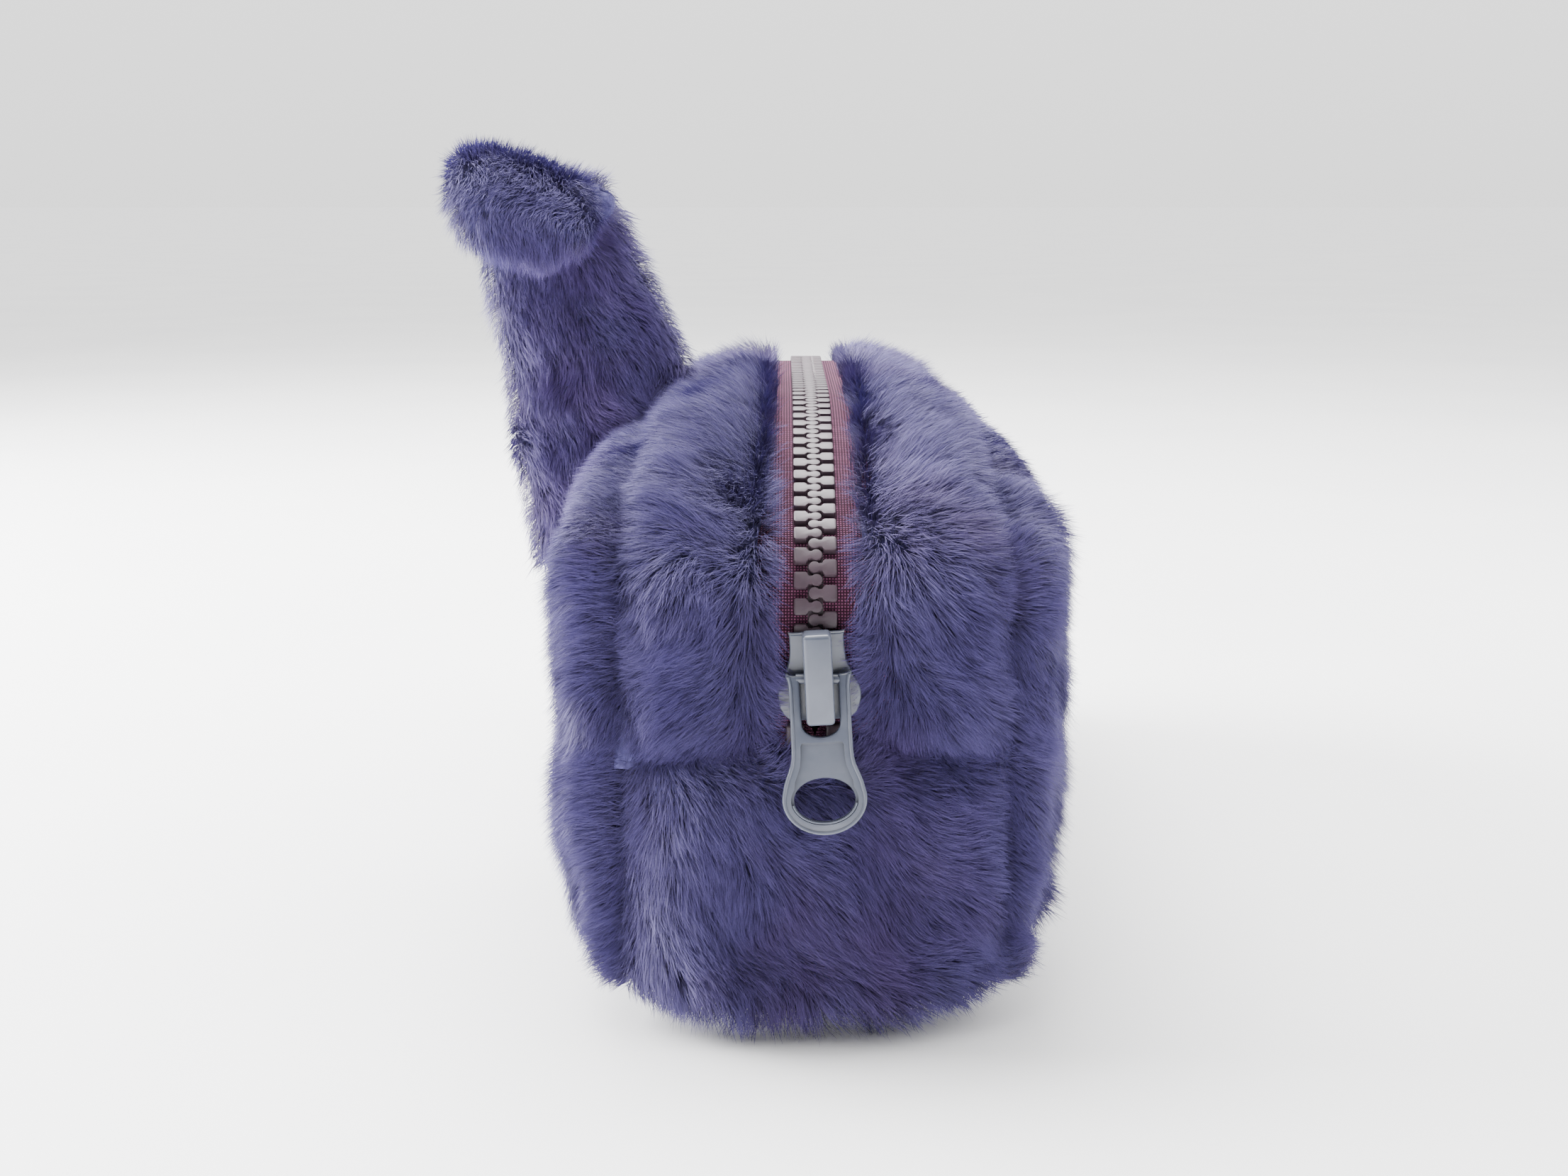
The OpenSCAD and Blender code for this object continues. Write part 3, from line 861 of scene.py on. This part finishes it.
def cutPlate(name, outlines, low, high, bevel, frameMatrix):
    # a filled outline with holes, given a thickness and rounded edges
    data = bpy.data.curves.new(name, "CURVE")
    data.dimensions = "2D"
    data.fill_mode = "BOTH"
    for outline in outlines:
        spline = data.splines.new("POLY")
        spline.points.add(len(outline) - 1)
        for point, (x, y) in zip(spline.points, outline):
            point.co = (x, y, 0, 1)
        spline.use_cyclic_u = True
    data.extrude = (high - low) / 2 - bevel
    data.bevel_depth = bevel
    data.bevel_resolution = 3
    data.offset = -bevel
    piece = curveToMesh(data, frameMatrix @ Matrix.Translation((0, 0, (low + high) / 2)))
    shape = bmesh.new()
    shape.from_mesh(piece.data)
    bmesh.ops.remove_doubles(shape, verts=shape.verts, dist=0.004 * mm)
    bmesh.ops.recalc_face_normals(shape, faces=shape.faces)
    shape.to_mesh(piece.data)
    shape.free()
    return piece


def joinPieces(name, pieces, material):
    selectOnly(*pieces)
    bpy.ops.object.join()
    whole = bpy.context.active_object
    whole.name = whole.data.name = name
    for face in whole.data.polygons:
        face.material_index = 0
    dress(whole, material)
    return whole


def inMm(points):
    return [(x * mm, y * mm) for x, y in points]


def mirrorX(points):
    # the right half of an outline, from the bottom up, closed by its mirror image
    return points + [(-x, y) for x, y in reversed(points)]


sliderShape = {
    "halfLong": (sliderHigh[2] - sliderLow[2]) / 2,
    "neckHalf": 3.75 * mm,
    "shoulderR": (sliderHigh[0] - sliderLow[0]) / 2,
    "shoulderY": -2.9 * mm,
    "inner": 1.5 * mm,  # inner face of each plate
    "outer": 2.7 * mm,  # outer face of the upper plate
    "pivotUp": 4.15 * mm,
}


def sliderOutline():
    # square neck with small horns, running out in a long curve to round shoulders
    half, top = sliderShape["neckHalf"], sliderShape["halfLong"]
    flank = [(4.3, -5.95), (4.95, -5.35), (5.45, -4.4), (5.7, -3.3), (5.75, -2.5), (5.6, -1.5), (5.2, -0.6),
             (4.7, 0.3), (4.3, 1.2), (4.0, 2.1), (3.82, 3.0)]
    points = [(3.2 * mm, -top)] + inMm(flank) + [(half, 3.9 * mm), (half, top - 0.5 * mm)]
    return mirrorX(points + [(half + 0.12 * mm, top), (half - 0.45 * mm, top - 0.12 * mm)])


def makeSlider():
    s = sliderShape
    top = cutPlate("plate", [sliderOutline()], s["inner"], s["outer"], 0.3 * mm, standUp)
    low = cutPlate("plate", [sliderOutline()], -s["inner"] - 1 * mm, -s["inner"], 0.25 * mm, standUp)
    wedge = inMm([(0, 0.1), (-1.3, -3.6), (-0.9, -5.8), (0.9, -5.8), (1.3, -3.6)])
    post = cutPlate("post", [wedge], -s["inner"] - 0.1 * mm, s["inner"] + 0.1 * mm, 0.05 * mm, standUp)
    centre, outerR, innerR = (0, s["shoulderY"]), s["shoulderR"] - 0.15 * mm, s["shoulderR"] - 0.6 * mm
    neckOut, neckIn = s["neckHalf"] - 0.05 * mm, s["neckHalf"] - 0.55 * mm
    path = arcPoints(centre, (outerR, outerR), -30, 40, 8)
    path += [(s["neckHalf"] + 0.2 * mm, 2.0 * mm), (neckOut, 3 * mm), (neckOut, 5.8 * mm)]
    path += [(neckIn, 5.8 * mm), (neckIn, 2.6 * mm)] + arcPoints(centre, (innerR, innerR), 36, -30, 8)
    rails = []
    for up in (1, -1):
        for side in (1, -1):
            lowZ, highZ = sorted((up * 0.5 * mm, up * (s["inner"] + 0.1 * mm)))
            rails.append(cutPlate("rail", [[(side * x, y) for x, y in path]], lowZ, highZ, 0.06 * mm, standUp))
    return joinPieces("slider_casting", [top, low, post] + rails, enamel)


def makeCap():
    # a raised bridge with softened edges and a tunnel for the pull's bar
    s = sliderShape
    size = [b - a for a, b in zip(capLow, capHigh)]
    middle = [(a + b) / 2 for a, b in zip(capLow, capHigh)]
    cap = newCube(middle, (size[0], size[1], size[2] - 0.4 * mm))
    addModifier(cap, "BEVEL", width=0.6 * mm, segments=5)
    tunnel = newCube((0, sliderMiddle.y - 3.9 * mm, middle[2]), (20 * mm, 2.5 * mm, size[2] - 4.2 * mm))
    addModifier(tunnel, "BEVEL", width=0.4 * mm, segments=3)
    addModifier(cap, "BOOLEAN", operation="DIFFERENCE", object=tunnel, solver="EXACT")
    bpy.data.objects.remove(tunnel)
    cap.data.transform(sliderTilt @ Matrix.Translation((0, 0, 0.3 * mm)))
    return joinPieces("slider_bridge", [cap], enamel)


pullShape = {
    "thick": 1.4 * mm,
    "ringY": -16.4 * mm,
    "ring": (5.8 * mm, (sliderMiddle.z - pullLow[2]) / math.cos(pullLean) - 16.5 * mm),
    "holeY": -16.5 * mm,
    "hole": (4.2 * mm, 3.0 * mm),
    "ledge": 0.4 * mm,
    "windowHalf": 2.6 * mm,
    "windowFoot": -7.9 * mm,
}


def rim(name, path, radius, up, frameMatrix):
    # a raised bead along a path on the pull's face
    data = bpy.data.curves.new(name, "CURVE")
    data.dimensions = "3D"
    spline = data.splines.new("POLY")
    spline.points.add(len(path) - 1)
    for point, (x, y) in zip(spline.points, path):
        point.co = (x, y, 0, 1)
    data.bevel_depth = radius
    data.bevel_resolution = 3
    data.use_fill_caps = True
    return curveToMesh(data, frameMatrix @ Matrix.Translation((0, 0, up)))


def makePull():
    p = pullShape
    frameMatrix = standUp @ Matrix.Translation((0, 0, sliderShape["pivotUp"]))
    frameMatrix = frameMatrix @ Matrix.Rotation(-pullLean, 4, "X")
    ringMiddle, holeMiddle, hole = (0, p["ringY"]), (0, p["holeY"]), p["hole"]
    flank = [(5.4, -14.2), (5.12, -13.4), (4.8, -12.6), (4.5, -11.8), (4.28, -10.8), (4.2, -9.6), (4.18, -7),
             (4.15, -3), (4.16, -1), (4.25, -0.1), (4.45, 0.5)]
    horn = [(4.5, 0.9), (4.3, 0.98), (4.0, 0.72), (3.5, 0.6), (2.8, 0.62)]
    right = arcPoints(ringMiddle, p["ring"], -90, 14, 18) + inMm(flank + horn)
    gap, roundUp = p["windowHalf"], 0.7 * p["windowHalf"]
    right += [(gap, 0.45 * mm), (gap, p["windowFoot"] + roundUp)]
    right += arcPoints((0, p["windowFoot"] + roundUp), (gap, roundUp), 0, -90, 8)[1:]
    half = p["thick"] / 2
    eye = arcPoints(holeMiddle, hole, 0, 350, 35)
    body = cutPlate("pull", [mirrorX(right), eye], -half, half, 0.34 * mm, frameMatrix)
    ledge = [h + p["ledge"] for h in hole]
    side = [(3.95, -13.9), (3.5, -12.8), (3.15, -11.8), (3.0, -10.6), (2.95, -9.0), (2.75, -8.6)]
    pocket = mirrorX(arcPoints(holeMiddle, ledge, -90, 28, 18) + inMm(side))
    cutter = cutPlate("pocket", [pocket], half - 0.6 * mm, half + 1 * mm, 0.03 * mm, frameMatrix)
    addModifier(body, "BOOLEAN", operation="DIFFERENCE", object=cutter, solver="EXACT")
    bpy.data.objects.remove(cutter)
    edge = 0.3 * mm
    bead = arcPoints(ringMiddle, [r - edge for r in p["ring"]], -90, 14, 18)
    bead += [(x - edge, y) for x, y in inMm(flank)]
    beads = ([(-x, y) for x, y in bead], bead)
    rims = [rim("rim", path, 0.26 * mm, half - 0.06 * mm, frameMatrix) for path in beads]
    lip = arcPoints(holeMiddle, [h + 0.16 * mm for h in hole], -170, -10, 24)
    rims.append(rim("lip", lip, 0.15 * mm, half - 0.02 * mm, frameMatrix))
    bpy.ops.object.select_all(action="DESELECT")
    bpy.ops.mesh.primitive_cylinder_add(vertices=24, radius=0.7 * mm, depth=6.2 * mm,
                                        location=frameMatrix.translation, rotation=(0, math.pi / 2, 0))
    bar = bpy.context.active_object
    bpy.context.view_layer.update()
    applyPlace(bar)
    return joinPieces("zip_pull", [body, bar] + rims, enamel)


print("slider and pull")
casting = makeSlider()
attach(casting, "slider")
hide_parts("slider_body")
bridge = makeCap()
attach(bridge, "slider")
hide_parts("slider_cap")
pull = makePull()
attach(pull, "pull")
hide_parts("pull_tab")
spring = bpy.data.objects["lock_spring"]
for index in range(len(spring.material_slots)):
    spring.material_slots[index].material = springSteel
if not spring.material_slots:
    spring.data.materials.append(springSteel)


# ---- lining: plain woven polyester ----

def liningMaterial():
    # thin taffeta: plain weave with a soft sheen and slack folds
    material, tree, place = newMaterial("taffeta lining, woven")
    scaled = addNode(tree, "Mapping", {"Scale": (1500.0, 1500.0, 1500.0)}, {"Vector": place})
    weave = addNode(tree, "TexChecker", {"Scale": 1.0}, {"Vector": scaled.outputs["Vector"]})
    folds = addNode(tree, "TexNoise", {"Scale": 45.0, "Detail": 3.0}, {"Vector": place}).outputs["Fac"]
    # painted shade and painted light: the colour follows the fold height, darker in the hollows and lighter on
    # the crests
    colour = addNode(tree, "ValToRGB", {"stops": [(0.3, "#6f6b9f"), (0.7, "#8b87b8")]}, {"Fac": folds})
    fine = addNode(tree, "Bump", {"Strength": 0.25, "Distance": 0.1 * mm}, {"Height": weave.outputs["Fac"]})
    soft = addNode(tree, "Bump", {"Strength": 0.6, "Distance": 2 * mm},
                   {"Height": folds, "Normal": fine.outputs["Normal"]})
    return finishMaterial(material, {"Roughness": 0.45, "Sheen Weight": 0.3}, {
        "Base Color": colour.outputs["Color"], "Normal": soft.outputs["Normal"]})


taffeta = liningMaterial()
liningDepth = 10.2 * mm


def makeLining():
    bagShape = newCube((0, 0, bag["top"] / 2), (2 * bag["halfW"], 2 * bagL, bag["top"]), cuts=30)
    points = ontoBag(meshPoints(bagShape.data), liningDepth)
    slack = np.maximum(waves(points, 28 * mm, 8) + 0.4 * waves(points, 11 * mm, 9), -0.2)
    inwards = 0.7 * mm * slack - np.minimum(relief(points), 0)  # it follows the padding where seams draw it in
    points = points - bagNormals(points) * inwards[:, None]
    movePoints(bagShape.data, points)
    edge = slotX + 1.5 * mm
    cutAlong(bagShape, [((edge, 0, 0), (1, 0, 0)), ((-edge, 0, 0), (1, 0, 0)), ((0, 0, seamZ), (0, 0, 1))])
    return bagShape, edge


print("lining")
liningShape, edge = makeLining()
linings = {
    "base_lining": ("bag_lining", lambda c: c.z < seamZ),
    "left_lining": ("left_lip_lining", lambda c: c.x < -edge and c.z > seamZ),
    "right_lining": ("right_lip_lining", lambda c: c.x > edge and c.z > seamZ),
}
for node, (name, keep) in linings.items():
    cloth = panelFrom(liningShape, name, keep)
    addModifier(cloth, "SOLIDIFY", thickness=0.4 * mm, offset=0, use_even_offset=False)
    dress(cloth, taffeta, 60)
    follow(cloth)
    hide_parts(node)
bpy.data.objects.remove(liningShape)


# ---- ear ----

print("ear")
ear = {
    "spine": [(-32, -9, 56), (-35, -9, 79), (-38.5, -9, 92), (-41.5, -9, 102), (-43.8, -9, 110),
              (-45.6, -9.8, 115), (-46.8, -13, 118.3), (-47, -18.5, 118), (-48.8, -22, 114),
              (-50.2, -22.8, 109.5)],
    "wide": [31, 31, 27.5, 25, 23, 22.6, 24, 23.5, 20, 13],
    "thick": [8, 8, 7.5, 7, 7, 6.5, 6.5, 6.5, 6.5, 5],
    "slant": [20, 20, 20, 18, 13, 2, -14, -18, -16, -12],  # degrees, right edge up
    "around": 40,
    "along": 70,
}


def catmull(values, t):
    # a smooth curve through the given values
    values = np.asarray(values, float)
    n = len(values) - 1
    i = np.clip(np.floor(t * n).astype(int), 0, n - 1)
    f = (t * n - i)[:, None] if values.ndim > 1 else t * n - i
    p0, p1 = values[np.maximum(i - 1, 0)], values[i]
    p2, p3 = values[i + 1], values[np.minimum(i + 2, n)]
    return 0.5 * (2 * p1 + (p2 - p0) * f + (2 * p0 - 5 * p1 + 4 * p2 - p3) * f ** 2
                  + (3 * p1 - p0 - 3 * p2 + p3) * f ** 3)


def makeEar():
    # a flat tube drawn along a spine that folds forwards at its top
    t = np.linspace(0, 1, ear["along"])
    spine = catmull(ear["spine"], t) * mm
    wide, thick = catmull(ear["wide"], t) * mm / 2, catmull(ear["thick"], t) * mm / 2
    ahead = unit(np.gradient(spine, axis=0))
    slant = np.radians(catmull(ear["slant"], t))
    across = np.stack([np.cos(slant), np.zeros_like(slant), np.sin(slant)], 1)
    across = unit(across - ahead * (across * ahead).sum(1, keepdims=True))
    face = np.cross(ahead, across)
    shape = bmesh.new()
    rings = []
    for k in range(ear["along"]):
        ring = []
        for j in range(ear["around"]):
            a = 2 * math.pi * j / ear["around"]
            c, s = math.cos(a), math.sin(a)
            flatC = math.copysign(abs(c) ** 0.8, c)
            flatS = math.copysign(abs(s) ** 0.8, s)
            p = spine[k] + across[k] * wide[k] * flatC + face[k] * thick[k] * flatS
            ring.append(shape.verts.new(p))
        rings.append(ring)
    for k in range(ear["along"] - 1):
        for j in range(ear["around"]):
            n = (j + 1) % ear["around"]
            shape.faces.new((rings[k][j], rings[k][n], rings[k + 1][n], rings[k + 1][j]))
    shape.faces.new(list(reversed(rings[0])))
    shape.faces.new(rings[-1])
    bmesh.ops.recalc_face_normals(shape, faces=shape.faces)
    depth = bagDistance(np.array([f.calc_center_median() for f in shape.faces]))
    sunk = [f for f, d in zip(shape.faces, depth) if d < -6.5 * mm]  # the ear ends in its seam
    bmesh.ops.delete(shape, geom=sunk, context="FACES")
    mesh = meshFrom(shape, "ear_panels")
    piece = newObject("ear_panels", mesh)
    points = meshPoints(mesh)
    normals = outerTriangles(piece)[1]
    creases = 0.5 * waves(points, 16 * mm, 31) + 0.3 * waves(points, 8 * mm, 32)
    facing = points[:, 1] < -9 * mm
    for spot, size, high in (((-34.3, 116.7), 2.4, -2.2), ((-35, 110.4), 2.2, -2.0)):
        away = np.hypot(points[:, 0] - spot[0] * mm, points[:, 2] - spot[1] * mm)
        creases += high * hump(away, size * mm) * facing
    seen, start, heading = points[:, [0, 2]], np.array([-40, 112]) * mm, np.array([0.57, -0.82])
    ridge = np.clip((seen - start) @ heading, 0, 17 * mm)
    line = start + ridge[:, None] * heading
    creases += 1.8 * hump(np.hypot(*(seen - line).T), 2 * mm) * facing
    movePoints(mesh, points + normals * (0.55 * mm * creases)[:, None])
    return piece, spine, ahead


earSkin, earSpine, earAhead = makeEar()


def earComb(p, n):
    # the nap parts along the fold: down the column behind it, down the tip in front
    near = np.argmin(((p[:, None, :] - earSpine[None]) ** 2).sum(2), 1)
    t = near / (ear["along"] - 1)
    turn = smoothStep(t, 0.62, 0.74) * 2 - 1
    lay = earAhead[near] * turn[:, None] + np.array([0.2, 0, -0.1])
    lift = 0.3 + 0.2 * np.abs(turn) + 0.1 * waves(p, 9 * mm, 41)
    reach = 0.95 + 0.08 * waves(p, 12 * mm, 42)
    return lay, lift, reach


foldY = -15 * mm  # the tip is all that lies in front of this


def evenly(strands):
    return lambda p: np.full(len(p), strands)


earParts = {
    "ear_front": (lambda c: foldY <= c.y < -9 * mm, 20.0, fur["width"]),
    "ear_back": (lambda c: c.y >= -9 * mm, 9.0, 0.22 * mm),
    "ear_fold": (lambda c: c.y < foldY, 18.0, fur["width"]),
}
for number, (name, (keep, strands, wide)) in enumerate(earParts.items()):
    patch = panelFrom(earSkin, name + "_patch", keep)
    pile = growPile(name + "_pile", patch, earComb, evenly(strands), 300 + number, length=4.8 * mm, width=wide,
                    coat=earCoatPaintedLighter)
    bpy.data.objects.remove(patch)
    if name == "ear_fold":
        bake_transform(pile)
    else:
        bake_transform(pile)
lower = panelFrom(earSkin, "ear_panel", lambda c: c.y >= foldY)
upper = panelFrom(earSkin, "ear_fold_panel", lambda c: c.y < foldY)
for piece in (lower, upper):
    addModifier(piece, "SOLIDIFY", thickness=1.2 * mm, offset=-1)
    dress(piece, backing, 60)
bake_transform(lower)
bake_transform(upper)
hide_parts("ear_front", "ear_back", "ear_wadding")
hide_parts("ear_tip_front", "ear_tip_back")
bpy.data.objects.remove(earSkin)


# ---- floor, light and camera ----

def floorMaterial():
    # matt painted board, pale and even
    material, tree, place = newMaterial("painted board, matt")
    noise = addNode(tree, "TexNoise", {"Scale": 8.0}, {"Vector": place})
    colour = addNode(tree, "ValToRGB", {"stops": [(0.3, "#f6f6f7"), (0.7, "#fbfbfb")]},
                     {"Fac": noise.outputs["Fac"]})
    return finishMaterial(material, {"Roughness": 0.9}, {"Base Color": colour.outputs["Color"]})


print("studio")
bpy.ops.object.select_all(action="DESELECT")
bpy.ops.mesh.primitive_plane_add(size=60, location=(0, 0, 0))
floor = bpy.context.active_object
floor.name = "floor"
floor.data.materials.append(floorMaterial())

world = bpy.data.worlds.new("studio")
bpy.context.scene.world = world
world.use_nodes = True
room = world.node_tree
where = addNode(room, "TexCoord")
split = addNode(room, "SeparateXYZ", links={"Vector": where.outputs["Generated"]})
glow = addNode(room, "MapRange", {"From Min": -0.8, "From Max": 0.1, "To Min": 0.06, "To Max": 1.0},
               {"Value": split.outputs["Y"]})  # the room is dimmer on the camera's side
rise = addNode(room, "MapRange", {"From Min": 0.0, "From Max": 0.9, "To Min": 1.75, "To Max": 2.9},
               {"Value": split.outputs["Z"]})
both = addNode(room, "Math", {"operation": "MULTIPLY"},
               {0: glow.outputs["Result"], 1: rise.outputs["Result"]})
room.links.new(both.outputs["Value"], room.nodes["Background"].inputs["Strength"])
room.nodes["Background"].inputs["Color"].default_value = (1, 1, 1, 1)


def softLight(name, place, aim, size, power):
    data = bpy.data.lights.new(name, "AREA")
    data.size = size
    data.energy = power
    lamp = newObject(name, data)
    lamp.location = place
    lamp.rotation_euler = (Vector(aim) - Vector(place)).to_track_quat("-Z", "Y").to_euler()


softLight("top", (-0.12, 0.28, 0.72), (0, 0, 0.05), 0.6, 16.0)
softLight("left", (-0.7, 0.16, 0.35), (0, 0, 0.06), 0.5, 29.0)
softLight("right", (0.65, 0.05, 0.35), (0, 0, 0.06), 0.5, 4.0)
softLight("front", (-0.12, -0.42, 0.7), (0, -0.09, 0.05), 0.14, 0.4)

camera = newObject("camera", bpy.data.cameras.new("camera"))
bpy.context.scene.camera = camera
camera.data.sensor_width = 36
camera.data.lens = 41.9
camera.data.clip_start = 0.01
camera.location = (-4.3 * mm, sliderMiddle.y - 243.6 * mm, 117 * mm)
camera.rotation_euler = (math.radians(78), 0, 0)
